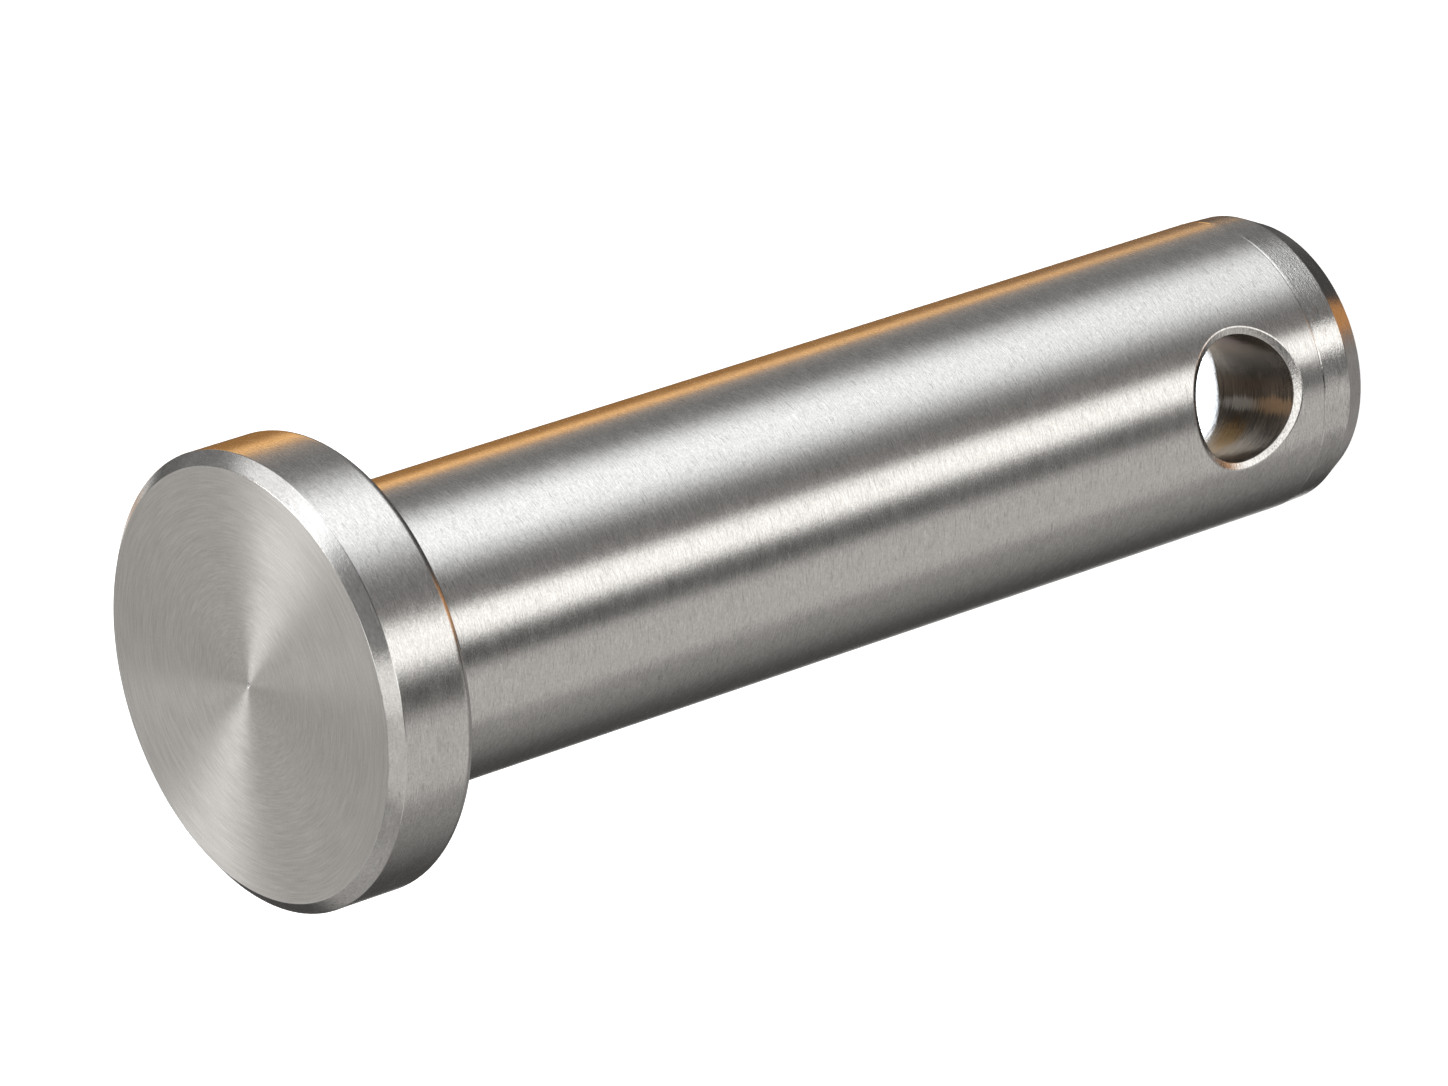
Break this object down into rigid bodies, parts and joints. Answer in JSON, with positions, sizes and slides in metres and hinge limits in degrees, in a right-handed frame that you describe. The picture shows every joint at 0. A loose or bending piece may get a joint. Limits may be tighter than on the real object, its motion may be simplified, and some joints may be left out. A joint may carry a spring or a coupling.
{
  "type": "clevis pin",
  "caption": "Turned stainless clevis pin: a round shank with a flat bevelled head and a cross hole near the tip for a split pin or ring.",
  "frame": {"origin": "centre of the tip's flat end face, on the pin's axis; the pin stands on this face with its head up", "axes": "+Z along the pin's axis from the tip to the head, Y along the cross hole, X square to both"},
  "size_m": [0.012, 0.012, 0.0345],
  "materials": {
    "turned_steel": "satin"
  },
  "bodies": {
    "root": {"clevis_pin": "turned_steel"}
  },
  "joints": []
}
